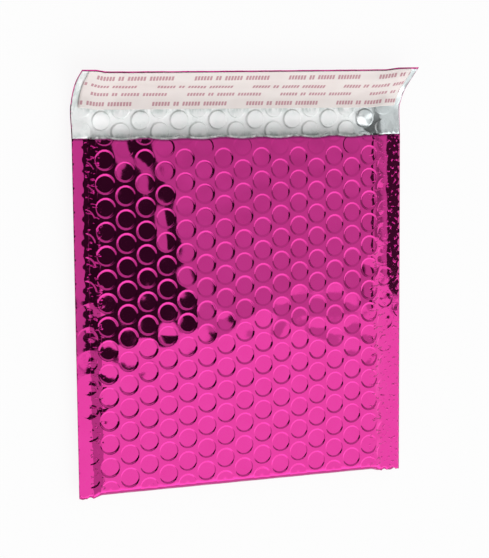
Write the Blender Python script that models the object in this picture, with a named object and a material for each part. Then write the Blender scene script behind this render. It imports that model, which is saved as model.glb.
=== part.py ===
"""A padded envelope lying on its back, with its flap open and curling up.

One web of metallised film is folded at the bottom and welded down both sides, and its long end is
the flap. It is lined with bubble film. A strip of adhesive crosses the flap under a release liner.
"""

import math

import bmesh
import bpy
from mathutils import Vector
from mathutils.geometry import delaunay_2d_cdt

# Sizes of the web, in metres
WIDTH = 0.180
WEB_FRONT = 0.1815
FLAP_LENGTH = 0.038
LEFT_SEAM = 0.0075
RIGHT_SEAM = 0.011
SEAM_THICKNESS = 0.0010
SEAM_TAPER = 0.003
FOLD_DRAW = 0.0012

# Layers, from the outer skin inwards
FLAP_FILM = 0.0006
POCKET_FILM = 0.0007
CLEARANCE = 0.0003
LINING_BASE = 0.0004
BUBBLE_HEIGHT = 0.0022
POCKET_SLACK = 0.0001
PRESSED_LINING = 0.0012
LINING_EDGE = 0.0025
ADHESIVE_THICKNESS = 0.0004
LINER_THICKNESS = 0.0003

# The bubbles, and the dimples that the film makes over them
BUBBLE_PITCH = 0.0119
BUBBLE_DIAMETER = 0.0108
DIMPLE_DEPTH = 0.00035
DIMPLE_RIM = 0.0009
COLUMN_FROM_SEAM = 0.0085
FRONT_ROW = 0.0166
FLAP_ROW = 0.0095
ROW_EDGE = 0.0008
FIRST_STATION = 0.0100

# How far the pocket stands open, and where along the body it opens
POCKET_GAP = 0.0054
SWELL_START = 0.008
SWELL_RUN = 0.080
PLUMPNESS = 4

# The flap's curve: it rises a little from the mouth and then curls up, further at the left
ROOT_RUN = 0.010
ROOT_RISE = math.radians(6)
BEND_RADIUS = 0.014
LEFT_BEND_START = 0.0200
RIGHT_BEND_START = 0.0190
LEFT_BEND_ANGLE = math.radians(55)
RIGHT_BEND_ANGLE = math.radians(38)
FLAP_SETTLE = 0.015

# The strips across the flap, measured from the mouth
LINER_START = 0.0152
LINER_END_MARGIN = 0.0010
LINER_SIDE_MARGIN = 0.0010
ADHESIVE_INSET = 0.0030

# How finely the curved faces are cut
STATION = 0.0130
FOLD_STEPS = 3
BEND_STEPS = 4
STRIP_STEPS = 16
FRONT_SIDES = 7
BACK_SIDES = 5
BUBBLE_SIDES = 10
THINNEST_HALF = 0.00015
CORE_OVERRUN = 0.003

# Places that follow from the sizes
LEFT = -WIDTH / 2
RIGHT = WIDTH / 2
SEAM_LEFT_X = LEFT + LEFT_SEAM
SEAM_RIGHT_X = RIGHT - RIGHT_SEAM
PAD_LEFT_X = SEAM_LEFT_X + SEAM_TAPER
PAD_RIGHT_X = SEAM_RIGHT_X - SEAM_TAPER
WEB_BACK = WEB_FRONT + FLAP_LENGTH
LINING_DEPTH = POCKET_FILM + CLEARANCE
LAND_DEPTH = LINING_DEPTH + LINING_BASE
BUBBLE_DEPTH = LAND_DEPTH + BUBBLE_HEIGHT
POCKET_DEPTH = BUBBLE_DEPTH + POCKET_SLACK
PRESSED_DEPTH = LINING_DEPTH + PRESSED_LINING
ADHESIVE_DEPTH = PRESSED_DEPTH + CLEARANCE
LINER_DEPTH = ADHESIVE_DEPTH + ADHESIVE_THICKNESS + CLEARANCE
CLOSED_THICKNESS = 2 * POCKET_DEPTH
SEAM_LIFT = (CLOSED_THICKNESS - SEAM_THICKNESS) / 2
COLUMN_PITCH = BUBBLE_PITCH * math.sqrt(3) / 2
BUBBLE_RADIUS = BUBBLE_DIAMETER / 2
ADHESIVE_START = LINER_START + ADHESIVE_INSET
LINER_END = FLAP_LENGTH - LINER_END_MARGIN
ADHESIVE_END = LINER_END - ADHESIVE_INSET
FOLD_QUARTER = math.pi / 2 * CLOSED_THICKNESS / 2


def clear_scene():
    for old in list(bpy.data.objects):
        bpy.data.objects.remove(old)


def material(name, colour, roughness, metallic):
    made = bpy.data.materials.new(name)
    made.use_nodes = True
    shader = made.node_tree.nodes["Principled BSDF"]
    shader.inputs["Base Color"].default_value = (*colour, 1)
    shader.inputs["Roughness"].default_value = roughness
    shader.inputs["Metallic"].default_value = metallic
    return made


def ease(share):
    share = min(max(share, 0.0), 1.0)
    return share * share * (3 - 2 * share)


def across(x, at_left, at_right):
    return at_left + (at_right - at_left) * (x - LEFT) / WIDTH


def padded_share(x):
    """0 on the welded seams, 1 where the padding has its full thickness."""
    return min(max(min(x - SEAM_LEFT_X, SEAM_RIGHT_X - x) / SEAM_TAPER, 0.0), 1.0)


def opening(x, y):
    """The pocket's free height: none at the fold and the seams, the full gap in the middle."""
    middle = (SEAM_LEFT_X + SEAM_RIGHT_X) / 2
    half = (SEAM_RIGHT_X - SEAM_LEFT_X) / 2
    plump = max(0.0, 1 - abs((x - middle) / half) ** PLUMPNESS)
    return POCKET_GAP * plump * ease((y - SWELL_START) / SWELL_RUN)


def thickness(x, y):
    padding = (CLOSED_THICKNESS - SEAM_THICKNESS) * padded_share(x)
    return SEAM_THICKNESS + padding + opening(x, y)


def back_height(x):
    return SEAM_LIFT * (1 - padded_share(x))


def body_point(x, t, depth):
    """A point at a depth under the outer skin. t runs along the web from the fold, up the front
    where it is positive and up the back where it is negative."""
    radius = thickness(x, 0) / 2
    quarter = math.pi / 2 * radius
    centre_y = FOLD_DRAW * padded_share(x) + radius
    if abs(t) <= quarter:
        inner = max(radius - depth, THINNEST_HALF)
        height = back_height(x) + radius + inner * math.sin(t / radius)
        return Vector((x, centre_y - inner * math.cos(t / radius), height))
    y = centre_y + abs(t) - quarter
    half = thickness(x, y) / 2
    height = back_height(x) + half + math.copysign(max(half - depth, THINNEST_HALF), t)
    return Vector((x, y, height))


def bend_start(x):
    return across(x, LEFT_BEND_START, RIGHT_BEND_START)


def bend_angle(x):
    return across(x, LEFT_BEND_ANGLE, RIGHT_BEND_ANGLE)


def bend_length(x):
    return BEND_RADIUS * (bend_angle(x) - ROOT_RISE)


def flap_point(x, q, depth):
    """A point of the flap, q along it from the mouth and at a depth under the outer skin."""
    arcs = (
        (ROOT_RUN, ROOT_RISE),
        (bend_start(x) - ROOT_RUN, 0),
        (bend_length(x), bend_angle(x) - ROOT_RISE),
        (FLAP_LENGTH, 0),
    )
    root = body_point(x, -WEB_FRONT, 0)
    settled = root.z * (1 - ease(q / FLAP_SETTLE))
    y, z, angle, left_over = root.y, settled, 0.0, q
    for length, turn in arcs:
        run = min(left_over, length)
        turned = turn * run / length
        chord = run if turned == 0 else 2 * run / turned * math.sin(turned / 2)
        y += chord * math.cos(angle + turned / 2)
        z += chord * math.sin(angle + turned / 2)
        angle += turned
        left_over -= run
    return Vector((x, y - depth * math.sin(angle), z + depth * math.cos(angle)))


def web_point(x, t, depth):
    if t <= -WEB_FRONT:
        return flap_point(x, -t - WEB_FRONT, depth)
    return body_point(x, t, depth)


def stations(start, end, step=STATION):
    count = max(1, round((end - start) / step))
    return [start + (end - start) * i / count for i in range(count + 1)]


def columns():
    """The bubble columns, each with its shift along the web: every second one is half a pitch lower."""
    x = SEAM_LEFT_X + COLUMN_FROM_SEAM
    shift = 0.0
    while x + BUBBLE_RADIUS < SEAM_RIGHT_X - DIMPLE_RIM:
        yield x, shift
        x += COLUMN_PITCH
        shift = -BUBBLE_PITCH / 2 - shift


def rows(first, low, high):
    """Bubble centres by whole pitches from first, with at least half of each between low and high."""
    t = first + BUBBLE_PITCH * math.ceil((low - first) / BUBBLE_PITCH)
    while t < high:
        yield t
        t += BUBBLE_PITCH


def ring(x, t, radius, sides, bounds, inset=0.0):
    """The corners of a round mark, cut off straight where it would pass the bounds."""
    left, right, low, high = bounds
    turn = math.pi / sides
    corners = []
    for i in range(sides):
        angle = turn + 2 * math.pi * i / sides
        side = min(max(x + radius * math.cos(angle), left + inset), right - inset)
        along = min(max(t + radius * math.sin(angle), low + inset), high - inset)
        corners.append((side, along))
    return corners


class Patch:
    """A flat layout of points (x, t, added depth) and fixed edges, triangulated, then bent to shape."""

    def __init__(self):
        self.points = []
        self.edges = []

    def add(self, x, t, added=0.0):
        self.points.append((x, t, added))
        return len(self.points) - 1

    def add_ring(self, corners, added):
        first = len(self.points)
        for x, t in corners:
            self.add(x, t, added)
        for i in range(len(corners)):
            self.edges.append((first + i, first + (i + 1) % len(corners)))

    def add_line(self, spots):
        """A run of points joined by fixed edges."""
        ids = [self.add(x, t) for x, t in spots]
        self.edges += zip(ids, ids[1:])

    def add_frame(self, xs, ts):
        loop = [(x, ts[0]) for x in xs] + [(xs[-1], t) for t in ts[1:]]
        loop += [(x, ts[-1]) for x in xs[-2::-1]] + [(xs[0], t) for t in ts[-2:0:-1]]
        self.add_ring(loop, 0.0)

    def build(self, mesh, place):
        flat = [Vector((x, t)) for x, t, added in self.points]
        found, _, faces, sources, _, _ = delaunay_2d_cdt(flat, self.edges, [], 0, 1e-7)
        made = []
        for spot, source in zip(found, sources):
            added = self.points[source[0]][2] if source else 0.0
            made.append(mesh.verts.new(place(spot.x, spot.y, added)))
        for face in faces:
            mesh.faces.new([made[i] for i in face])


def add_strip(mesh, first, second):
    """Faces between two rows of as many points."""
    for i in range(len(first) - 1):
        corners = [first[i], first[i + 1], second[i + 1], second[i]]
        mesh.faces.new([mesh.verts.new(c) for c in corners])


def finish(mesh, name, finish_material):
    """Joins the faces into one closed body and makes it an object."""
    bmesh.ops.remove_doubles(mesh, verts=mesh.verts, dist=2e-6)
    bmesh.ops.dissolve_degenerate(mesh, edges=mesh.edges, dist=1e-6)
    bmesh.ops.recalc_face_normals(mesh, faces=mesh.faces)
    data = bpy.data.meshes.new(name)
    mesh.to_mesh(data)
    mesh.free()
    made = bpy.data.objects.new(name, data)
    bpy.context.scene.collection.objects.link(made)
    if finish_material:
        data.materials.append(finish_material)
    return made


def lattice_marks(patch, bounds, first, add_mark):
    for x, shift in columns():
        for t in rows(first + shift, bounds[2], bounds[3]):
            add_mark(patch, x, t, bounds)


def add_dimple(patch, x, t, bounds):
    """A flat-bottomed dimple with a sloping rim."""
    patch.add_ring(ring(x, t, BUBBLE_RADIUS, FRONT_SIDES, bounds), 0.0)
    floor = ring(x, t, BUBBLE_RADIUS - DIMPLE_RIM, FRONT_SIDES, bounds, DIMPLE_RIM)
    patch.add_ring(floor, DIMPLE_DEPTH)


def add_back_dimple(patch, x, t, bounds):
    """A plain hollow, left out where the flap bends."""
    q = -t - WEB_FRONT
    past_start = q + BUBBLE_RADIUS > bend_start(x)
    before_end = q - BUBBLE_RADIUS < bend_start(x) + bend_length(x)
    crosses_mouth = abs(q) < BUBBLE_RADIUS
    if (past_start and before_end) or crosses_mouth:
        return
    if t - BUBBLE_RADIUS < bounds[2] or t + BUBBLE_RADIUS > bounds[3]:
        return
    patch.add_ring(ring(x, t, BUBBLE_RADIUS, BACK_SIDES, bounds), 0.0)
    patch.add(x, t, DIMPLE_DEPTH)


def add_bubble(patch, x, t, bounds):
    """A round bubble with a shoulder and a flat top, as a depth over the land around it."""
    for share, rise in ((1.0, 0.0), (0.92, 0.6), (0.66, 1.0)):
        inset = BUBBLE_RADIUS * (1 - share)
        corners = ring(x, t, BUBBLE_RADIUS * share, BUBBLE_SIDES, bounds, inset)
        patch.add_ring(corners, BUBBLE_HEIGHT * rise)


def body_stations():
    """Stations up the body from the fold, the same for its front and its back and for every layer."""
    fold = [FOLD_QUARTER * i / FOLD_STEPS for i in range(FOLD_STEPS + 1)]
    return fold + stations(FIRST_STATION, WEB_FRONT)


def web_stations(t_low, t_high):
    """Stations along the web from the flap's tip, down the back, round the fold and up the front."""
    up = body_stations()
    down = [-t for t in up[:0:-1]]
    flap = [-t for t in stations(WEB_FRONT, WEB_BACK, STATION / 4)[:0:-1]]
    return [t for t in flap + down + up if t_low <= t <= t_high]


def add_bend_rows(patch, xs, t_low, t_high):
    """Rows of points where the web bends: round the fold, at the flap's bend and along the pad's sides."""
    ts = web_stations(t_low, t_high)
    for t in ts[1:-1]:
        if abs(t) <= FOLD_QUARTER:
            patch.add_line([(x, t) for x in xs])
    for x in (SEAM_LEFT_X, PAD_LEFT_X, PAD_RIGHT_X, SEAM_RIGHT_X):
        if xs[0] < x < xs[-1]:
            patch.add_line([(x, t) for t in ts])
    for i in range(BEND_STEPS + 1):
        bend = [(x, -WEB_FRONT - bend_start(x) - bend_length(x) * i / BEND_STEPS) for x in xs[1:-1]]
        patch.add_line([(x, t) for x, t in bend if t_low < t < t_high])


def add_ends_and_sides(mesh, xs, depth, inner_depth):
    """Closes a block of web: its mouth, its flap's tip and its side faces."""
    mouth_inner = [web_point(x, -WEB_FRONT, inner_depth(0)) for x in xs]
    add_strip(mesh, [web_point(x, WEB_FRONT, depth) for x in xs], mouth_inner)
    tip_inner = [web_point(x, -WEB_BACK, inner_depth(FLAP_LENGTH)) for x in xs]
    add_strip(mesh, [web_point(x, -WEB_BACK, depth) for x in xs], tip_inner)
    for x, inner in ((xs[0], mouth_inner[0]), (xs[-1], mouth_inner[-1])):
        flap_ts = web_stations(-WEB_BACK, -WEB_FRONT)
        outer = [web_point(x, t, depth) for t in flap_ts]
        add_strip(mesh, outer, [web_point(x, t, inner_depth(-t - WEB_FRONT)) for t in flap_ts])
        ts = web_stations(0, WEB_FRONT)
        front = [web_point(x, t, depth) for t in ts]
        back = [web_point(x, -t, depth) for t in ts]
        add_strip(mesh, front[:-1], back[:-1])
        last = [front[-2], front[-1], inner, back[-1], back[-2]]
        mesh.faces.new([mesh.verts.new(c) for c in last])


def add_flap_inside(mesh, xs, inner_depth, add_marks):
    patch = Patch()
    patch.add_frame(xs, web_stations(-WEB_BACK, -WEB_FRONT))
    add_bend_rows(patch, xs, -WEB_BACK, -WEB_FRONT)
    add_marks(patch)
    patch.build(mesh, lambda x, t, added: web_point(x, t, inner_depth(-t - WEB_FRONT) + added))


def pocket_core(name, xs, depth, start):
    """The space inside a folded layer, as a cutter that runs out past the mouth."""
    mesh = bmesh.new()
    up = [t for t in body_stations() if t > start] + [WEB_FRONT + CORE_OVERRUN]
    back = [-t for t in up[::-1]]
    front = up
    if start > 0:
        back, front = [*back, -start], [start, *front]
    middle = [0.0] if start == 0 else []
    loops = [[body_point(x, t, depth) for t in back + middle + front] for x in xs]
    for first, second in zip(loops, loops[1:]):
        add_strip(mesh, first + first[:1], second + second[:1])
    for loop in (loops[0], loops[-1]):
        upper, lower = loop[-len(front):], loop[:len(back)][::-1]
        add_strip(mesh, upper, lower)
        if middle:
            mesh.faces.new([mesh.verts.new(c) for c in (upper[0], lower[0], loop[len(back)])])
    core = finish(mesh, name, None)
    core.hide_render = True
    core.display_type = "WIRE"
    return core


def cut_pocket(solid, core):
    cut = solid.modifiers.new("pocket", "BOOLEAN")
    cut.operation = "DIFFERENCE"
    cut.object = core


def make_outer_film(finish_material):
    """The metallised film: one folded web with a welded seam at each side, dimpled over each bubble."""
    mesh = bmesh.new()
    padded_xs = stations(PAD_LEFT_X, PAD_RIGHT_X)
    xs = [LEFT, SEAM_LEFT_X, *padded_xs, SEAM_RIGHT_X, RIGHT]
    patch = Patch()
    ts = web_stations(-WEB_BACK, WEB_FRONT)
    patch.add_frame(xs, ts)
    add_bend_rows(patch, xs, -WEB_BACK, WEB_FRONT)
    front_low = FOLD_QUARTER + ROW_EDGE / 2
    front = (SEAM_LEFT_X + ROW_EDGE, SEAM_RIGHT_X - ROW_EDGE, front_low, WEB_FRONT - ROW_EDGE)
    lattice_marks(patch, front, FRONT_ROW, add_dimple)
    back = (SEAM_LEFT_X + ROW_EDGE, SEAM_RIGHT_X - ROW_EDGE, ROW_EDGE - WEB_BACK, -front_low)
    lattice_marks(patch, back, -WEB_FRONT - FLAP_ROW, add_back_dimple)
    patch.build(mesh, lambda x, t, added: web_point(x, t, added))
    add_ends_and_sides(mesh, xs, 0.0, lambda q: FLAP_FILM)
    add_flap_inside(mesh, xs, lambda q: FLAP_FILM, lambda inside: None)
    film = finish(mesh, "outer_film", finish_material)
    side_gap = SEAM_TAPER * (2 * POCKET_FILM + 2 * THINNEST_HALF - SEAM_THICKNESS)
    side_gap /= CLOSED_THICKNESS - SEAM_THICKNESS
    pocket_xs = [SEAM_LEFT_X + side_gap, *padded_xs, SEAM_RIGHT_X - side_gap]
    cut_pocket(film, pocket_core("film_core", pocket_xs, POCKET_FILM, 0))
    return film


def make_bubble_lining(finish_material):
    """The bubble film inside: a padded wall round the pocket, with its bubbles bare on the flap."""
    mesh = bmesh.new()
    padded_xs = stations(PAD_LEFT_X, PAD_RIGHT_X)
    pocket_xs = [PAD_LEFT_X + LINING_EDGE, *padded_xs[1:-1], PAD_RIGHT_X - LINING_EDGE]
    xs = [PAD_LEFT_X, *pocket_xs, PAD_RIGHT_X]

    def inner_depth(q):
        pressed = ease((q - LINER_START + 2 * ROW_EDGE) / ROW_EDGE)
        return LAND_DEPTH + (PRESSED_DEPTH - LAND_DEPTH) * pressed

    def add_bubbles(patch):
        low = -WEB_FRONT - LINER_START + 3 * ROW_EDGE
        bounds = (xs[0] + ROW_EDGE / 2, xs[-1] - ROW_EDGE / 2, low, -WEB_FRONT - ROW_EDGE / 2)
        lattice_marks(patch, bounds, -WEB_FRONT - FLAP_ROW, add_bubble)
        for x in xs[1:-1]:
            patch.add(x, -WEB_FRONT - LINER_START + 2 * ROW_EDGE)
            patch.add(x, -WEB_FRONT - LINER_START + ROW_EDGE)

    patch = Patch()
    ts = web_stations(-WEB_BACK, WEB_FRONT)
    patch.add_frame(xs, ts)
    add_bend_rows(patch, xs, -WEB_BACK, WEB_FRONT)
    for x in xs[1:-1]:
        for t in ts[1:-1]:
            if abs(t) > FIRST_STATION and t > -WEB_FRONT - bend_start(x):
                patch.add(x, t)
    patch.build(mesh, lambda x, t, added: web_point(x, t, LINING_DEPTH))
    add_ends_and_sides(mesh, xs, LINING_DEPTH, inner_depth)
    add_flap_inside(mesh, xs, inner_depth, add_bubbles)
    lining = finish(mesh, "bubble_lining", finish_material)
    cut_pocket(lining, pocket_core("lining_core", pocket_xs, POCKET_DEPTH, SWELL_START))
    return lining


def make_strip(name, left, right, q_start, q_end, depth, height, finish_material):
    """A thin strip across the flap, lofted from side to side and bent with it."""
    mesh = bmesh.new()
    xs = [left, *[x for x in stations(PAD_LEFT_X, PAD_RIGHT_X) if left < x < right], right]
    along = [q_start + (q_end - q_start) * i / STRIP_STEPS for i in range(STRIP_STEPS + 1)]
    loops = []
    for x in xs:
        under = [flap_point(x, q, depth) for q in along]
        over = [flap_point(x, q, depth + height) for q in reversed(along)]
        loops.append(under + over)
    for first, second in zip(loops, loops[1:]):
        add_strip(mesh, first + first[:1], second + second[:1])
    for loop in (loops[0], loops[-1]):
        half = len(loop) // 2
        add_strip(mesh, loop[:half], loop[:half - 1:-1])
    return finish(mesh, name, finish_material)


def centre_on_origin(pieces):
    """Hangs the pieces on an empty that brings the foot of their common box to the origin."""
    corners = [corner.co for piece in pieces for corner in piece.data.vertices]
    low_y, high_y = min(c.y for c in corners), max(c.y for c in corners)
    frame = bpy.data.objects.new("envelope_frame", None)
    bpy.context.scene.collection.objects.link(frame)
    frame.location = (-(LEFT + RIGHT) / 2, -(low_y + high_y) / 2, 0)
    for piece in bpy.data.objects:
        if piece is not frame:
            piece.parent = frame


def main():
    clear_scene()
    foil = material("magenta_foil", (0.66, 0.03, 0.36), 0.16, 1.0)
    silver = material("silver_bubble_film", (0.82, 0.83, 0.84), 0.25, 0.6)
    paper = material("liner_paper", (0.93, 0.90, 0.89), 0.55, 0.0)
    glue = material("hot_melt", (0.90, 0.87, 0.78), 0.35, 0.0)
    film = make_outer_film(foil)
    lining = make_bubble_lining(silver)
    adhesive = make_strip(
        "adhesive_strip", PAD_LEFT_X, PAD_RIGHT_X, ADHESIVE_START, ADHESIVE_END,
        ADHESIVE_DEPTH, ADHESIVE_THICKNESS, glue,
    )
    liner = make_strip(
        "release_liner", LEFT + LINER_SIDE_MARGIN, RIGHT - LINER_SIDE_MARGIN, LINER_START, LINER_END,
        LINER_DEPTH, LINER_THICKNESS, paper,
    )
    centre_on_origin([film, lining, adhesive, liner])


main()
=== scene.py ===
import math

import bmesh
import bpy
from mathutils import Matrix, Vector, noise


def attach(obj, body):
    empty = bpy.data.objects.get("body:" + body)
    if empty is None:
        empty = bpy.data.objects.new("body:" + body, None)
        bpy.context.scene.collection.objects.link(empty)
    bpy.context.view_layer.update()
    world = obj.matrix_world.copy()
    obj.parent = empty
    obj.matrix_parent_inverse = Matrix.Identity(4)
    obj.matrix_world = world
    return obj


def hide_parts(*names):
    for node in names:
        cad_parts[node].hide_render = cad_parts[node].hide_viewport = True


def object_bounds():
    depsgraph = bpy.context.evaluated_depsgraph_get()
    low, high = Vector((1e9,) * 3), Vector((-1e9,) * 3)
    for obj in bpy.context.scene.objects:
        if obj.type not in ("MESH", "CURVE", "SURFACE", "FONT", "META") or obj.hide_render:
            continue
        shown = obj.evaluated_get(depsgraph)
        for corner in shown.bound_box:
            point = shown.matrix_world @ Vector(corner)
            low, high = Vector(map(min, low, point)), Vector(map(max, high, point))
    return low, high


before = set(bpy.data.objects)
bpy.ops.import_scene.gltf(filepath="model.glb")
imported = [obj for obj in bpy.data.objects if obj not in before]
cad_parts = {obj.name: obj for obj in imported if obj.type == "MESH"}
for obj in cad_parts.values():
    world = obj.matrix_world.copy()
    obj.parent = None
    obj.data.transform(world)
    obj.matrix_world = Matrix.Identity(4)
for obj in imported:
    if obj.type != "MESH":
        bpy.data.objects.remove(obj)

MM = 0.001
CAD_LOW, CAD_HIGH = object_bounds()

# The web of film. Its outline, seam widths, padded thickness and fold are the solids' own
LEFT, RIGHT = -90.0 * MM, 90.0 * MM
SEAM_LEFT, SEAM_RIGHT = LEFT + 7.5 * MM, RIGHT - 11.0 * MM
TAPER_LEFT, TAPER_RIGHT = 4.5 * MM, 6.0 * MM
PAD_LEFT, PAD_RIGHT = SEAM_LEFT + TAPER_LEFT, SEAM_RIGHT - TAPER_RIGHT
WEB_FRONT = 181.5 * MM
FLAP_LENGTH = 38.0 * MM
WEB_BACK = WEB_FRONT + FLAP_LENGTH
PADDED_THICKNESS = 7.4 * MM
SEAM_THICKNESS = 0.5 * MM
SEAM_HEIGHT = 5.2 * MM
FOLD_RADIUS = PADDED_THICKNESS / 2
FOLD_QUARTER = math.pi / 2 * FOLD_RADIUS
FOLD_DRAW = 1.2 * MM
FOLD_UNDER = 8.0 * MM
FOLD_PLAIN, FOLD_PLAIN_RUN = 3.0 * MM, 4.0 * MM
TIGHTEST_FOLD = 0.05 * MM
MERGE_WITHIN = 0.02 * MM
FILM = 0.2 * MM
LINING_GAP = 0.35 * MM
LINING_DEPTH = 1.0 * MM
LINING_FILM = 0.15 * MM
LINING_INSET = 0.4 * MM
LINING_SHORT = 0.8 * MM
LINING_PROUD = 0.7 * MM

# The swelling of the front panel
SWELL = 4.3 * MM
SWELL_MIDDLE = Vector((-1.0 * MM, 90.0 * MM))
SWELL_HALF = Vector((83.0 * MM, 84.0 * MM))
SWELL_SIDE_POWER = 1.57
SWELL_FOLD_POWER = 1.78
SWELL_LOST_AT_MOUTH = 0.25
SEAM_DROOP = 0.12
SEAM_LIFT_AT_MOUTH = 0.8 * MM
WIDER_AT_MOUTH = 1.3 * MM
FLAP_LEAN = (3.4 * MM, 6.4 * MM)
LEAN_START = 15.0 * MM

# The flap's curve, as in the solids, and the lift of its two sides
ROOT_RUN, ROOT_RISE = 10.0 * MM, math.radians(6)
BEND_RADIUS = 14.0 * MM
BEND_START = (20.0 * MM, 19.0 * MM)
BEND_ANGLE = (math.radians(55), math.radians(38))
FLAP_SETTLE = 15.0 * MM
FLAP_SIDE_LIFT = 3.1 * MM
FLAP_SIDE_RUN = 24.0 * MM

# The bubbles
PITCH = 11.9 * MM
COLUMN_PITCH = PITCH * math.sqrt(3) / 2
BUBBLE_RADIUS = 4.85 * MM
FIRST_COLUMN = SEAM_LEFT + 8.5 * MM
FRONT_ROW = 16.6 * MM
FLAP_ROW = 9.5 * MM
DIMPLE_DEPTH = 0.25 * MM
DIMPLE_RIM = 0.85 * MM
DIMPLE_BOWL = 0.05 * MM
MOUTH_DIMPLES = 0.25
MOUTH_ROW = 7.0 * MM
DOME_HEIGHT = 1.0 * MM
DOME_SIDE = 0.6 * MM
DOME_BOWL = 0.15 * MM
DOME_IN_SEAM = 0.12
DOME_UNDER_LINER = 0.6
CRUSHED_FROM, CRUSHED_RUN = 58.0 * MM, 14.0 * MM
EDGE_RUN = 6.0 * MM
EDGE_SHARE = 0.15

# The unevenness of film and paper: how high, and how long each wave is
SLOW_WAVE = (0.12 * MM, 24.0 * MM)
QUICK_WAVE = (0.16 * MM, 11.0 * MM)
MOUTH_WAVE = (0.5 * MM, 22.0 * MM)
MOUTH_RIPPLE = 0.35 * MM
FINE_ROUGH = (0.10 * MM, 4.0 * MM)
BROAD_ROUGH = (0.15 * MM, 9.0 * MM)
FACETS = (1.6 * MM, 8.0 * MM)
FACET_RIDGES = (0.8 * MM, 7.0 * MM)
PAPER_RIPPLE = (0.12 * MM, 16.0 * MM)
PAPER_OVER_BUBBLE = 0.22 * MM
CREASE_HEIGHT = 0.28 * MM
LEFT_CREASES = (SEAM_LEFT + 4.0 * MM, 2.6 * MM)
RIGHT_CREASES = (SEAM_RIGHT - 2.0 * MM, 4.5 * MM)
LEFT_IN_SEAM = 0.04
WAVES_IN_SEAM = 0.3
LOST_ON_FLAP = 0.7
CUT_EDGE_RUN = 8.0 * MM

# The liner and the adhesive, measured from the mouth
LINER_START, LINER_END = 15.2 * MM, 37.7 * MM
LINER_SIDE = 3.6 * MM
LINER_DEPTH = 2.9 * MM
LINER_PAPER = 0.12 * MM
LAYERS_AT_EDGE = 0.6 * MM
GLUE_INSET = 3.0 * MM
GLUE_LAYER = 0.3 * MM
GLUE_GAP = 0.05 * MM

# The rose blocks on the liner, in rows and groups
PRINT_ROWS = 4
PRINT_PITCH = 5.6 * MM
PRINT_HEIGHT = 2.0 * MM
PRINT_FIRST = 17.9 * MM
GROUP_PITCH = 50.4 * MM
ROW_STARTS = (-48.2 * MM, -81.4 * MM)
BLOCK = 1.6 * MM
BLOCKS = 25
SPACES = (6, 9, 16)

# The rings of each sheet's cells, close together where the rim is steep
RIM_RINGS = [r * MM for r in (2.4, 4.1, 4.42, 4.64, 4.85, 5.06, 5.28, 5.46)]
BACK_RINGS = [r * MM for r in (3.0, 4.45, 4.85, 5.25)]
DOME_RINGS = [r * MM for r in (2.6, 4.3, 4.55, 4.85, 5.15, 5.35)]
POCKET_RINGS = [r * MM for r in (3.2, 4.5, 5.2)]
RIM_SIDES = 18
POCKET_SIDES = 12


def ease(share):
    """A smooth step from 0 to 1."""
    share = min(max(share, 0.0), 1.0)
    return share * share * (3 - 2 * share)


def padded_share(x):
    """0 in the seams, 1 in the padded panel, and between them along the tapers."""
    share = min((x - SEAM_LEFT) / TAPER_LEFT, (SEAM_RIGHT - x) / TAPER_RIGHT)
    return min(max(share, 0.0), 1.0)


def swelling(x, y):
    """How far the front panel stands above the closed padding. y runs from the fold to the mouth."""
    side = min(abs(x - SWELL_MIDDLE.x) / SWELL_HALF.x, 1.0)
    along = (y - SWELL_MIDDLE.y) / SWELL_HALF.y
    if along < 0:
        rise = 1 - min(-along, 1.0) ** SWELL_FOLD_POWER
    else:
        rise = 1 - SWELL_LOST_AT_MOUTH * along * along
    return SWELL * (1 - side**SWELL_SIDE_POWER) * rise


def thickness(x, y):
    share = padded_share(x)
    return SEAM_THICKNESS + (PADDED_THICKNESS - SEAM_THICKNESS) * share + swelling(x, y)


def back_height(x, y):
    """How far the back stands off the table: only at the seams, which rise towards the mouth."""
    droop = SEAM_DROOP * max(x - SEAM_RIGHT, 0.0)
    lift = SEAM_HEIGHT - SEAM_THICKNESS / 2 + SEAM_LIFT_AT_MOUTH * y / WEB_FRONT
    return (lift - droop) * (1 - padded_share(x))


def body_point(x, t, depth):
    """A point under the outer skin. t runs from the fold: up the front, or if negative up the back."""
    radius = (SEAM_THICKNESS + (PADDED_THICKNESS - SEAM_THICKNESS) * padded_share(x)) / 2
    quarter = math.pi / 2 * radius
    centre = FOLD_DRAW * padded_share(x) + radius
    if abs(t) <= quarter:
        inner = max(radius - depth, TIGHTEST_FOLD)
        y = centre - inner * math.cos(t / radius)
        return Vector((x, y, back_height(x, 0) + radius + inner * math.sin(t / radius)))
    y = centre + abs(t) - quarter
    if t < 0:
        return Vector((x, y, back_height(x, y) + depth))
    return Vector((x, y, back_height(x, y) + thickness(x, y) - depth))


def flap_point(x, q, depth):
    """A point of the flap, q along it from the mouth."""
    share = (x - LEFT) / (RIGHT - LEFT)
    start = BEND_START[0] + (BEND_START[1] - BEND_START[0]) * share
    turn = BEND_ANGLE[0] + (BEND_ANGLE[1] - BEND_ANGLE[0]) * share - ROOT_RISE
    arcs = (
        (ROOT_RUN, ROOT_RISE),
        (start - ROOT_RUN, 0),
        (BEND_RADIUS * turn, turn),
        (FLAP_LENGTH, 0),
    )
    root = body_point(x, -WEB_FRONT, 0)
    settled = ease(q / FLAP_SETTLE)
    side_lift = FLAP_SIDE_LIFT * (1 - ease(min(x - LEFT, RIGHT - x) / FLAP_SIDE_RUN))
    y, z, angle, left_over = root.y, root.z * (1 - settled) + side_lift * settled, 0.0, q
    for length, bend in arcs:
        run = min(left_over, length)
        turned = bend * run / length
        chord = run if turned == 0 else 2 * run / turned * math.sin(turned / 2)
        y += chord * math.cos(angle + turned / 2)
        z += chord * math.sin(angle + turned / 2)
        angle += turned
        left_over -= run
    return Vector((x, y - depth * math.sin(angle), z + depth * math.cos(angle)))


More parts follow.
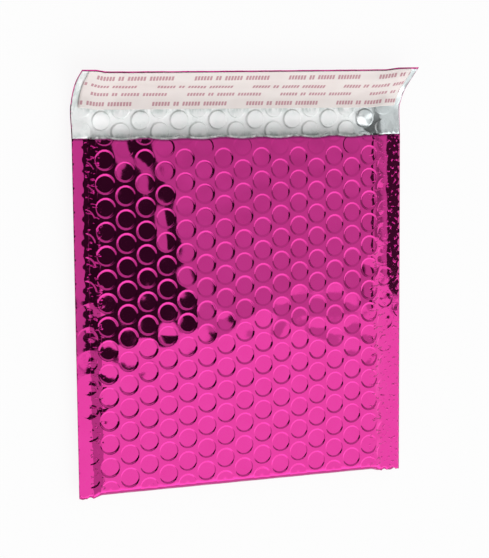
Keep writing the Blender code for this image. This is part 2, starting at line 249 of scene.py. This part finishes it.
def web_point(x, t, depth):
    """A point of the web in the row frame. The mouth is wider than the fold, and the flap leans."""
    across = (x - LEFT) / (RIGHT - LEFT)
    if t <= -WEB_FRONT:
        q = -t - WEB_FRONT
        share = max(0.0, (q - LEAN_START) / (FLAP_LENGTH - LEAN_START))
        lean = FLAP_LEAN[0] + (FLAP_LEAN[1] - FLAP_LEAN[0]) * across
        point = flap_point(x, q, depth) + Vector((lean * share, 0, 0))
        along = 1.0
    else:
        point = body_point(x, t, depth)
        along = min(abs(t) / WEB_FRONT, 1.0)
    return point + Vector((WIDER_AT_MOUTH * across * along, CAD_LOW.y, 0))


def nearest_bubble(x, t, first_row):
    """The distance to the nearest bubble's middle, and that middle's t."""
    column = round((x - FIRST_COLUMN) / COLUMN_PITCH)
    found = (1.0, 0.0)
    for i in (column - 1, column, column + 1):
        shift = first_row - (PITCH / 2 if i % 2 else 0)
        row = shift + PITCH * round((t - shift) / PITCH)
        found = min(found, (math.hypot(x - FIRST_COLUMN - i * COLUMN_PITCH, t - row), row))
    return found


def crumple(x, t, length, seed):
    """Smooth noise from -1 to 1 with features of about the length."""
    return noise.noise(Vector((x / length, t / length, seed)))


def crease(x, t, length, seed):
    """Noise with sharp ridges, at most 1."""
    return 1 - 2 * abs(crumple(x, t, length, seed))


def wave(x, t, height_and_length, seed):
    """Smooth noise of a height and a length."""
    height, length = height_and_length
    return height * crumple(x, t, length, seed)


def near(value, place, width):
    """1 at the place, falling away over the width."""
    return math.exp(-(((value - place) / width) ** 2))


def dimple(distance):
    """The depth of a dimple: a shallow bowl in a steep rim."""
    rim = 1 - ease((distance - BUBBLE_RADIUS + DIMPLE_RIM / 2) / DIMPLE_RIM)
    bowl = max(0.0, 1 - (distance / BUBBLE_RADIUS) ** 2)
    return DIMPLE_DEPTH * rim + DIMPLE_BOWL * bowl


def film_depth(x, t, first_row):
    """How deep the film's face lies under its even surface: dimples, waves, creases at the seams."""
    ends = ease((abs(t) - FOLD_PLAIN) / FOLD_PLAIN_RUN)
    distance, row = nearest_bubble(x, t, first_row)
    padded = padded_share(x)
    dimples = dimple(distance) * (LEFT_IN_SEAM + (1 - LEFT_IN_SEAM) * padded)
    if row > WEB_FRONT - MOUTH_ROW:
        dimples *= MOUTH_DIMPLES
    waves = wave(x, t, SLOW_WAVE, 1.0) + wave(x, t, QUICK_WAVE, 2.0)
    waves *= WAVES_IN_SEAM + (1 - WAVES_IN_SEAM) * padded
    at_seam = near(x, *LEFT_CREASES) + near(x, *RIGHT_CREASES)
    ridges = crease(1.5 * x, 3 * t, 9 * MM, 3.0) * crumple(x, t, 5 * MM, 4.0)
    creases = CREASE_HEIGHT * at_seam * ridges
    on_flap = ease((-t - WEB_FRONT + 4 * MM) / (4 * MM))
    return (dimples + waves + creases) * ends * (1 - LOST_ON_FLAP * on_flap)


def layers_apart(x, q):
    """How far the flap's layers lie apart, as a share: they are pressed together at its edges."""
    sides = ease(min(x - LEFT, RIGHT - x) / (2 * EDGE_RUN))
    return EDGE_SHARE + (1 - EDGE_SHARE) * sides * ease((FLAP_LENGTH - q) / EDGE_RUN)


def hexagon_reach(angle):
    """From a cell's middle to its border, for a hexagon with corners on the X axis."""
    sixth = math.pi / 3
    return PITCH / 2 / math.cos((angle % sixth) - sixth / 2)


def bubble_cell(radii, sides):
    """A flat hexagonal cell of rings round a bubble's middle."""
    cell = bmesh.new()
    rings = []
    first_on_x = Matrix.Rotation(math.pi / 2, 4, "Z")
    for radius in (*radii, PITCH / 2):
        made = bmesh.ops.create_circle(cell, segments=sides, radius=radius, matrix=first_on_x)
        rings.append(made["verts"])
    for corner in rings[-1]:
        angle = math.atan2(corner.co.y, corner.co.x)
        corner.co *= hexagon_reach(angle) / corner.co.length
    for inner, outer in zip(rings, rings[1:]):
        loops = {e for v in (*inner, *outer) for e in v.link_edges}
        between = [e for e in loops if len(e.link_faces) < 2 and same_ring(e, inner, outer)]
        bmesh.ops.bridge_loops(cell, edges=between)
    middle = bmesh.ops.contextual_create(cell, geom=rings[0])["faces"]
    bmesh.ops.poke(cell, faces=middle)
    bmesh.ops.recalc_face_normals(cell, faces=cell.faces)
    if sum(f.normal.z for f in cell.faces) < 0:
        bmesh.ops.reverse_faces(cell, faces=cell.faces)
    mesh = bpy.data.meshes.new("cell")
    cell.to_mesh(mesh)
    cell.free()
    return mesh


def same_ring(edge, *rings):
    """Whether both ends of an edge lie on one ring."""
    return any(all(v in ring for v in edge.verts) for ring in rings)


def bubble_sheet(left, right, low, high, first_row, radii, sides):
    """A flat sheet of cells on the bubbles' lattice, trimmed to a rectangle."""
    sheet = bmesh.new()
    cell = bubble_cell(radii, sides)
    first = math.floor((left - FIRST_COLUMN) / COLUMN_PITCH)
    last = math.ceil((right - FIRST_COLUMN) / COLUMN_PITCH)
    for i in range(first, last + 1):
        shift = first_row - (PITCH / 2 if i % 2 else 0)
        row = math.floor((low - shift) / PITCH)
        while shift + row * PITCH < high + PITCH / 2:
            done = len(sheet.verts)
            sheet.from_mesh(cell)
            sheet.verts.ensure_lookup_table()
            spot = Vector((FIRST_COLUMN + i * COLUMN_PITCH, shift + row * PITCH, 0))
            bmesh.ops.translate(sheet, verts=sheet.verts[done:], vec=spot)
            row += 1
    bpy.data.meshes.remove(cell)
    bmesh.ops.remove_doubles(sheet, verts=sheet.verts, dist=MERGE_WITHIN)
    sides_of_cut = (
        ((left, 0, 0), (-1, 0, 0)),
        ((right, 0, 0), (1, 0, 0)),
        ((0, low, 0), (0, -1, 0)),
        ((0, high, 0), (0, 1, 0)),
    )
    for place, outward in sides_of_cut:
        everything = [*sheet.verts, *sheet.edges, *sheet.faces]
        bmesh.ops.bisect_plane(
            sheet, geom=everything, plane_co=place, plane_no=outward, clear_outer=True
        )
    keep_flat_place(sheet)
    return sheet


def keep_flat_place(sheet):
    """Stores each corner's flat place, in metres, as the UV map that the materials read."""
    layer = sheet.loops.layers.uv.new("web")
    for face in sheet.faces:
        for loop in face.loops:
            loop[layer].uv = loop.vert.co.xy


def make_piece(name, sheet, place, material):
    """Bends a flat sheet to its place and makes it a piece."""
    for corner in sheet.verts:
        corner.co = place(corner.co.x, corner.co.y)
    mesh = bpy.data.meshes.new(name)
    sheet.to_mesh(mesh)
    sheet.free()
    mesh.shade_smooth()
    piece = bpy.data.objects.new(name, mesh)
    bpy.context.scene.collection.objects.link(piece)
    mesh.materials.append(material)
    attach(piece, "root")
    return piece


def thicken(piece, amount):
    """Gives a sheet its wall, away from the side that its faces look to."""
    wall = piece.modifiers.new("film", "SOLIDIFY")
    wall.thickness = amount
    wall.offset = -1
    wall.use_rim = True
    return piece


class Value:
    """A number in a node tree. Sums and products of Values add their Math nodes."""

    def __init__(self, paint, socket):
        self.paint = paint
        self.socket = socket

    def __add__(self, other):
        return self.paint.maths("ADD", self, other)

    def __sub__(self, other):
        return self.paint.maths("SUBTRACT", self, other)

    def __mul__(self, other):
        return self.paint.maths("MULTIPLY", self, other)

    def __truediv__(self, other):
        return self.paint.maths("DIVIDE", self, other)

    def __rsub__(self, other):
        return self.paint.maths("SUBTRACT", other, self)

    __radd__ = __add__
    __rmul__ = __mul__


class Paint:
    """A node tree under construction."""

    def __init__(self, tree):
        self.tree = tree

    def node(self, kind, settings=None, **inputs):
        """A node with its settings, and its sockets set or linked by name."""
        made = self.tree.nodes.new(kind)
        for name, value in (settings or {}).items():
            setattr(made, name, value)
        for name, value in inputs.items():
            self.join(made.inputs[name.replace("_", " ")], value)
        return made

    def join(self, socket, value):
        if isinstance(value, Value):
            self.tree.links.new(value.socket, socket)
        elif isinstance(value, bpy.types.NodeSocket):
            self.tree.links.new(value, socket)
        else:
            socket.default_value = value

    def maths(self, operation, *values):
        made = self.node("ShaderNodeMath", {"operation": operation})
        for socket, value in zip(made.inputs, values):
            self.join(socket, value)
        return Value(self, made.outputs[0])

    def step(self, value, start, end):
        """0 at start and 1 at end, smoothly; end may be the lower one."""
        made = self.node("ShaderNodeMapRange", {"interpolation_type": "SMOOTHSTEP"})
        first, last = (0.0, 1.0) if start < end else (1.0, 0.0)
        given_values = (value, min(start, end), max(start, end), first, last)
        for socket, given in zip(made.inputs, given_values):
            self.join(socket, given)
        return Value(self, made.outputs[0])

    def parts(self, vector):
        made = self.node("ShaderNodeSeparateXYZ", Vector=vector)
        return [Value(self, socket) for socket in made.outputs]

    def scaled(self, vector, factors):
        made = self.node("ShaderNodeVectorMath", {"operation": "MULTIPLY"})
        self.join(made.inputs[0], vector)
        made.inputs[1].default_value = factors
        return made.outputs[0]

    def noise(self, vector, scale, detail=2.0, roughness=0.5):
        made = self.node(
            "ShaderNodeTexNoise", Vector=vector, Scale=scale, Detail=detail, Roughness=roughness
        )
        return Value(self, made.outputs["Fac"])

    def mix(self, share, first, second):
        made = self.node("ShaderNodeMix", {"data_type": "RGBA"})
        for number, value in ((0, share), (6, first), (7, second)):
            self.join(made.inputs[number], value)
        return made.outputs[2]

    def bump(self, height, strength, distance):
        made = self.node("ShaderNodeBump", Height=height, Strength=strength, Distance=distance)
        return made.outputs[0]


def new_material(name):
    """A material, its node tree, and its shader."""
    made = bpy.data.materials.new(name)
    made.use_nodes = True
    return made, Paint(made.node_tree), made.node_tree.nodes["Principled BSDF"]


def web_place(paint):
    """The flat place on the web, across and along it."""
    return paint.node("ShaderNodeUVMap", {"uv_map": "web"}).outputs[0]


def magenta_foil():
    """Mirror-bright magenta metallised film, finely crinkled where it is welded."""
    made, paint, shader = new_material("magenta_foil")
    place = web_place(paint)
    x, t, _ = paint.parts(place)
    left_weld = paint.step(x, PAD_LEFT + 2.0 * MM, PAD_LEFT - 1.0 * MM)
    left_weld = left_weld * paint.step(x, SEAM_LEFT - 1.5 * MM, SEAM_LEFT + 0.5 * MM)
    right_weld = paint.step(x, PAD_RIGHT - 3.0 * MM, PAD_RIGHT)
    right_weld = right_weld * paint.step(x, SEAM_RIGHT + 1.0 * MM, SEAM_RIGHT - 1.0 * MM)
    right_seam = paint.step(x, SEAM_RIGHT - 1.0 * MM, SEAM_RIGHT + 1.0 * MM)
    grain = paint.noise(place, 900.0, 3.0, 0.6)
    ticks = paint.step(paint.noise(paint.scaled(place, (1.0, 1.9, 1.0)), 330.0, 2.0, 0.5), 0.60, 0.72)
    specks = paint.step(paint.noise(place, 480.0, 2.0, 0.5), 0.60, 0.74)
    height = ticks * (left_weld * 0.75 + right_weld * 0.60)
    height = height + specks * right_seam * 0.25 + grain * 0.004
    tint = paint.noise(place, 60.0, 2.0)
    colour = paint.mix(tint, (0.47, 0.016, 0.200, 1), (0.52, 0.024, 0.240, 1))
    # Painted shade: a thin dark line along the front panel's cut edge at the mouth, darkening the foil's
    # base colour where the edge would fall into shade
    mouth_edge_shade = paint.step(t, WEB_FRONT - 1.3 * MM, WEB_FRONT - 0.5 * MM)
    colour = paint.mix(mouth_edge_shade * 0.8, colour, (0.20, 0.010, 0.11, 1))
    paint.join(shader.inputs["Base Color"], colour)
    paint.join(shader.inputs["Metallic"], 1.0)
    paint.join(shader.inputs["Roughness"], grain * 0.03 + 0.02)
    paint.join(shader.inputs["Coat Weight"], 0.35)
    paint.join(shader.inputs["Coat Roughness"], 0.05)
    paint.join(shader.inputs["Normal"], paint.bump(height, 1.0, 0.0006))
    return made


def silver_lining():
    """Clear bubble film over the bright inner side of the metallised film."""
    made, paint, shader = new_material("silver_lining")
    place = web_place(paint)
    cloud = paint.noise(place, 140.0, 3.0, 0.6)
    crinkle = paint.noise(place, 420.0, 3.0, 0.6)
    x, t, _ = paint.parts(place)
    crushed = paint.step(x, 60 * MM, 72 * MM)
    under_liner = paint.step(t, -WEB_FRONT - 11.8 * MM, -WEB_FRONT - 14.8 * MM)
    at_mouth = paint.step(t, -WEB_FRONT - 3.8 * MM, -WEB_FRONT - 0.8 * MM)
    streaks = paint.noise(paint.scaled(place, (1.0, 0.35, 1.0)), 260.0, 3.0, 0.6)
    streaks = paint.step(streaks, 0.36, 0.62)
    shaded = paint.maths("MAXIMUM", under_liner, at_mouth) * streaks
    clouded = paint.step(cloud, 0.35, 0.65)
    colour = paint.mix(clouded, (0.93, 0.96, 0.95, 1), (0.98, 0.98, 0.98, 1))
    colour = paint.mix(shaded * 0.8, colour, (0.50, 0.57, 0.55, 1))
    colour = paint.mix(crushed * 0.7, colour, (0.55, 0.62, 0.63, 1))
    paint.join(shader.inputs["Base Color"], colour)
    paint.join(shader.inputs["Metallic"], crushed * 0.75 + 0.05)
    paint.join(shader.inputs["Roughness"], cloud * 0.2 + 0.20)
    paint.join(shader.inputs["Coat Weight"], 0.8)
    paint.join(shader.inputs["Coat Roughness"], 0.08)
    paint.join(shader.inputs["Normal"], paint.bump(crinkle, 0.35, 0.0003))
    return made


def liner_paper():
    """Off-white release paper with rows of small rose blocks in groups, every second row shifted."""
    made, paint, shader = new_material("liner_paper")
    place = web_place(paint)
    x, t, _ = paint.parts(place)
    along = (t * -1.0) - (WEB_FRONT + PRINT_FIRST - PRINT_PITCH / 2)
    row = paint.maths("FLOOR", along / PRINT_PITCH)
    within = along - row * PRINT_PITCH
    from_line = paint.maths("ABSOLUTE", within - PRINT_PITCH / 2)
    line = paint.step(from_line, PRINT_HEIGHT / 2 + 0.15 * MM, PRINT_HEIGHT / 2 - 0.15 * MM)
    rows = paint.step(row, PRINT_ROWS - 0.4, PRINT_ROWS - 0.6) * paint.step(row, -0.6, -0.4)
    odd = paint.maths("MODULO", row, 2.0)
    shifted = x + odd * (ROW_STARTS[0] - ROW_STARTS[1]) + (10 * GROUP_PITCH - ROW_STARTS[0])
    blocks = paint.maths("MODULO", shifted, GROUP_PITCH) / BLOCK
    number = paint.maths("FLOOR", blocks)
    within_block = blocks - number
    ink = line * rows * paint.step(within_block, 0.86, 0.72) * paint.step(within_block, 0.0, 0.12)
    ink = ink * paint.step(number, BLOCKS - 0.4, BLOCKS - 0.6)
    for space in SPACES:
        ink = ink * (1 - paint.maths("COMPARE", number, float(space), 0.3))
    fibre = paint.noise(place, 700.0, 3.0)
    cloud = paint.noise(place, 55.0, 2.0)
    paper = paint.mix(cloud, (0.77, 0.67, 0.65, 1), (0.84, 0.80, 0.77, 1))
    paint.join(shader.inputs["Base Color"], paint.mix(ink * 0.75, paper, (0.42, 0.11, 0.17, 1)))
    paint.join(shader.inputs["Roughness"], fibre * 0.1 + 0.42)
    paint.join(shader.inputs["Normal"], paint.bump(fibre, 0.1, 0.0001))
    return made


def glue():
    """Tacky translucent hot melt."""
    made, paint, shader = new_material("hot_melt")
    place = paint.node("ShaderNodeTexCoord").outputs["Object"]
    cloud = paint.noise(place, 300.0)
    colour = paint.mix(cloud, (0.80, 0.76, 0.62, 1), (0.90, 0.87, 0.78, 1))
    paint.join(shader.inputs["Base Color"], colour)
    paint.join(shader.inputs["Roughness"], cloud * 0.2 + 0.25)
    return made


def mouth_wave(x):
    """The front panel's cut edge rides up over the bubbles and sinks between them."""
    ripple = math.cos(2 * math.pi * (x - FIRST_COLUMN) / (2 * COLUMN_PITCH))
    return MOUTH_RIPPLE * ripple + wave(x, 0, MOUTH_WAVE, 8.0)


def make_front(material):
    """The front panel's film, from under the fold to the mouth."""
    sheet = bubble_sheet(LEFT, RIGHT, -FOLD_UNDER, WEB_FRONT, FRONT_ROW, RIM_RINGS, RIM_SIDES)

    def place(x, t):
        depth = film_depth(x, t, FRONT_ROW) if t > 0 else 0.0
        edge = ease((t - WEB_FRONT + CUT_EDGE_RUN) / CUT_EDGE_RUN)
        return web_point(x, t + mouth_wave(x) * edge, depth)

    return thicken(make_piece("front_film", sheet, place, material), FILM)


def make_back(material):
    """The back's film and the flap's, in one piece up to the fold."""
    top = -FOLD_UNDER + 1 * MM
    row = -WEB_FRONT - FLAP_ROW
    sheet = bubble_sheet(LEFT, RIGHT, -WEB_BACK, top, row, BACK_RINGS, RIM_SIDES)
    fold_hidden = 0.06 * MM

    def place(x, t):
        depth = max(film_depth(x, t, row), 0.0) + fold_hidden
        return web_point(x, t, depth)

    return thicken(make_piece("back_film", sheet, place, material), FILM)


def dome(distance):
    """A bubble's height as a share: a flat top with a slight hollow, and steep sides."""
    side = 1 - ease((distance - BUBBLE_RADIUS + DOME_SIDE / 2) / DOME_SIDE)
    return side - DOME_BOWL / DOME_HEIGHT * max(0.0, 1 - distance / BUBBLE_RADIUS)


def make_flap_lining(material):
    """The lining on the flap: domes, pressed flat under the liner and crushed at the right end."""
    row = -WEB_FRONT - FLAP_ROW
    left, right = LEFT + LINING_INSET, RIGHT - LINING_INSET
    low = -WEB_BACK + LINING_SHORT
    sheet = bubble_sheet(left, right, low, -WEB_FRONT, row, DOME_RINGS, RIM_SIDES)
    bmesh.ops.reverse_faces(sheet, faces=sheet.faces)

    def place(x, t):
        q = -t - WEB_FRONT
        pressed = ease((q - LINER_START + 4 * MM) / (3 * MM))
        padded = DOME_IN_SEAM + (1 - DOME_IN_SEAM) * padded_share(x)
        height = DOME_HEIGHT * padded * (1 - (1 - DOME_UNDER_LINER) * pressed)
        rise = height * dome(nearest_bubble(x, t, row)[0])
        crushed = ease((x - CRUSHED_FROM) / CRUSHED_RUN) * (1 - pressed)
        rough = wave(x, t, FINE_ROUGH, 11.0) + wave(x, t, BROAD_ROUGH, 12.0)
        ridges = FACET_RIDGES[0] * crease(x, t, FACET_RIDGES[1], 14.0)
        rough += crushed * (wave(x, t, FACETS, 13.0) + ridges)
        return web_point(x, t, LINING_GAP + (LINING_DEPTH + rise + rough) * layers_apart(x, q))

    return thicken(make_piece("flap_lining", sheet, place, material), LINING_FILM)


def make_pocket_lining(material):
    """The lining of the pocket, down the back, round the fold and up the front to the mouth."""
    row = -WEB_FRONT - FLAP_ROW
    high = WEB_FRONT + LINING_PROUD
    sheet = bubble_sheet(PAD_LEFT, PAD_RIGHT, -WEB_FRONT, high, row, POCKET_RINGS, POCKET_SIDES)
    bmesh.ops.reverse_faces(sheet, faces=sheet.faces)

    def place(x, t):
        off_fold = ease((abs(t) - FOLD_QUARTER) / (8 * MM))
        rise = DOME_HEIGHT * dome(nearest_bubble(x, t, row)[0]) * off_fold
        edge = ease((t - WEB_FRONT + CUT_EDGE_RUN) / CUT_EDGE_RUN)
        return web_point(x, t + (mouth_wave(x) + 0.3 * MM) * edge, LINING_DEPTH + rise)

    return thicken(make_piece("pocket_lining", sheet, place, material), LINING_FILM)


def strip_depth(x, t):
    """How deep the top of the liner lies over the film: it takes the bubbles' shapes faintly."""
    q = -t - WEB_FRONT
    distance = nearest_bubble(x, t, -WEB_FRONT - FLAP_ROW)[0]
    over_bubble = PAPER_OVER_BUBBLE * ease(1.3 - distance / BUBBLE_RADIUS)
    ripple = wave(x, t, PAPER_RIPPLE, 21.0)
    depth = LINER_DEPTH - LAYERS_AT_EDGE + over_bubble + ripple
    return LAYERS_AT_EDGE + depth * layers_apart(x, q)


def make_strip(name, material, span, across, below, wall):
    """A strip across the flap. span is along the flap from the mouth, below is under the liner's top."""
    sheet = bmesh.new()
    bmesh.ops.create_grid(sheet, x_segments=150, y_segments=40, size=0.5)
    width, length = across[1] - across[0], span[1] - span[0]
    bmesh.ops.scale(sheet, verts=sheet.verts, vec=(width, length, 1))
    middle = Vector((sum(across) / 2, -WEB_FRONT - sum(span) / 2, 0))
    bmesh.ops.translate(sheet, verts=sheet.verts, vec=middle)
    keep_flat_place(sheet)
    bmesh.ops.reverse_faces(sheet, faces=sheet.faces)

    def place(x, t):
        return web_point(x, t, strip_depth(x, t) - below)

    return thicken(make_piece(name, sheet, place, material), wall)


foil = magenta_foil()
lining = silver_lining()
front = make_front(foil)
back = make_back(foil)
flap_lining = make_flap_lining(lining)
pocket_lining = make_pocket_lining(lining)
liner_span, liner_across = (LINER_START, LINER_END), (LEFT + LINER_SIDE, RIGHT - LINER_SIDE)
liner = make_strip("liner_strip", liner_paper(), liner_span, liner_across, 0, LINER_PAPER)
glue_span, glue_across = (LINER_START + GLUE_INSET, LINER_END - GLUE_INSET), (PAD_LEFT, PAD_RIGHT)
glue_below = LINER_PAPER + GLUE_GAP
glue_strip = make_strip("glue_strip", glue(), glue_span, glue_across, glue_below, GLUE_LAYER)
for piece, node, finish in (
    (front, "outer_film", "magenta_foil"),
    (back, "outer_film", "magenta_foil"),
    (flap_lining, "bubble_lining", "silver_bubble_film"),
    (pocket_lining, "bubble_lining", "silver_bubble_film"),
    (liner, "release_liner", "liner_paper"),
    (glue_strip, "adhesive_strip", "hot_melt"),
):
    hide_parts(node)


# How white the floor shows, besides the shadow on it
FLOOR_SHOWN_WHITE = 0.90


def make_floor():
    """A wide pale floor that shows white and keeps the soft shadow."""
    sheet = bmesh.new()
    bmesh.ops.create_grid(sheet, x_segments=1, y_segments=1, size=3.0)
    bmesh.ops.translate(sheet, verts=sheet.verts, vec=(0, 0, CAD_LOW.z - 0.1 * MM))
    mesh = bpy.data.meshes.new("floor")
    sheet.to_mesh(mesh)
    sheet.free()
    floor = bpy.data.objects.new("floor", mesh)
    bpy.context.scene.collection.objects.link(floor)
    made, paint, shader = new_material("pale_floor")
    paint.join(shader.inputs["Base Color"], (0.93, 0.93, 0.93, 1))
    paint.join(shader.inputs["Roughness"], 0.9)
    paint.join(shader.inputs["Specular IOR Level"], 0.0)
    rays = paint.node("ShaderNodeLightPath").outputs
    shown = Value(paint, rays["Is Camera Ray"])
    for ray in ("Is Glossy Ray", "Is Transmission Ray"):
        shown = paint.maths("MAXIMUM", shown, Value(paint, rays[ray]))
    white = paint.node("ShaderNodeEmission", Color=(1, 1, 1, 1), Strength=1.0).outputs[0]
    share = shown * FLOOR_SHOWN_WHITE
    blend = paint.node("ShaderNodeMixShader")
    paint.join(blend.inputs[0], share)
    paint.join(blend.inputs[1], shader.outputs[0])
    paint.join(blend.inputs[2], white)
    out = made.node_tree.nodes["Material Output"]
    paint.join(out.inputs["Surface"], blend.outputs[0])
    mesh.materials.append(made)


# The studio round the envelope, as slopes of the direction seen: across X and along Y over Z
PANEL_EDGE = -0.150
PANEL_LEVEL = 1.62
CEILING_LEVEL = 1.0
WALL_LEVEL = 1.1
WALL_HEIGHT = 0.15
LEFT_GAP = (-0.14, 0.222)
LEFT_GAP_END = 0.10
LEFT_GAP_SLANT = 0.38
RIGHT_GAP = (0.76, 0.97)
LOW_LEFT_GAP = (-3.5, -0.12)
FAR_GAP = (0.02, 1.5)
RIGHT_END = (1.15, 1.5)

# How dark each of them is, from 0 to 1
LEFT_GAP_DARK = 0.95
RIGHT_GAP_DARK = 0.92
LOW_LEFT_DARK, LOW_LEFT_PANEL_DARK = 0.96, 0.45
FAR_GAP_DARK = 0.18
RIGHT_END_DARK = 0.5
GRAZING_DARK = 0.6


def make_studio():
    """A bright panel beyond the fold, an even ceiling with dark gaps in it, and pale walls."""
    world = bpy.data.worlds.new("studio")
    bpy.context.scene.world = world
    world.use_nodes = True
    paint = Paint(world.node_tree)
    x, y, z = paint.parts(paint.node("ShaderNodeTexCoord").outputs["Generated"])
    up = paint.maths("MAXIMUM", z, 0.02)
    across, along = x / up, y / up

    def between(value, span, soft):
        low, high = span
        return paint.step(value, low - soft, low + soft) * paint.step(value, high + soft, high - soft)

    low_left = between(across, LOW_LEFT_GAP, 0.04)
    left_gap = between(across + along * LEFT_GAP_SLANT, LEFT_GAP, 0.006)
    left_gap = left_gap * paint.step(along, LEFT_GAP_END + 0.02, LEFT_GAP_END - 0.02)
    ceiling = 1 - left_gap * LEFT_GAP_DARK
    ceiling = ceiling * (1 - paint.step(across, *RIGHT_END) * RIGHT_END_DARK)
    right_gap = between(across, RIGHT_GAP, 0.02) * paint.step(along, 0.45, 0.25)
    ceiling = ceiling * (1 - right_gap * RIGHT_GAP_DARK)
    ceiling = ceiling * (1 - low_left * LOW_LEFT_DARK)
    ceiling = ceiling * (1 - between(along, FAR_GAP, 0.06) * FAR_GAP_DARK)
    panel = paint.step(along, PANEL_EDGE + 0.006, PANEL_EDGE - 0.006)
    steep = paint.step(along, -0.35, -1.2)
    grazing = paint.step(along, -1.3, -2.4)
    bright = (steep + PANEL_LEVEL) * (1 - low_left * LOW_LEFT_PANEL_DARK)
    bright = bright * (1 - grazing * GRAZING_DARK)
    overhead = ceiling * (1 - panel) * CEILING_LEVEL + panel * bright
    wall = paint.step(z, WALL_HEIGHT + 0.05, WALL_HEIGHT - 0.05)
    level = overhead * (1 - wall) + wall * WALL_LEVEL
    grey = paint.node("ShaderNodeCombineColor", Red=level, Green=level, Blue=level).outputs[0]
    background = world.node_tree.nodes["Background"]
    paint.join(background.inputs["Color"], grey)
    background.inputs["Strength"].default_value = 1.0


# The camera, from the fit of the bubbles' lattice in the photograph
FOCAL_PIXELS = 1643.3
FRAME_HEIGHT_PIXELS = 558
CAMERA_AT = Vector((-309.3 * MM, CAD_LOW.y + 184.5 * MM, 793.0 * MM))
CAMERA_RIGHT = Vector((0.92993, -0.01351, 0.36748))
CAMERA_BACK = Vector((-0.36488, 0.09035, 0.92666))


def make_camera():
    data = bpy.data.cameras.new("camera")
    camera = bpy.data.objects.new("camera", data)
    bpy.context.scene.collection.objects.link(camera)
    bpy.context.scene.camera = camera
    data.sensor_width = 36.0
    data.lens = FOCAL_PIXELS * data.sensor_width / FRAME_HEIGHT_PIXELS
    data.clip_start = 0.01
    up = CAMERA_BACK.cross(CAMERA_RIGHT)
    axes = Matrix((CAMERA_RIGHT, up, CAMERA_BACK)).transposed()
    camera.matrix_world = Matrix.Translation(CAMERA_AT) @ axes.to_4x4()


make_floor()
make_studio()
make_camera()
bpy.context.scene.view_settings.view_transform = "Standard"

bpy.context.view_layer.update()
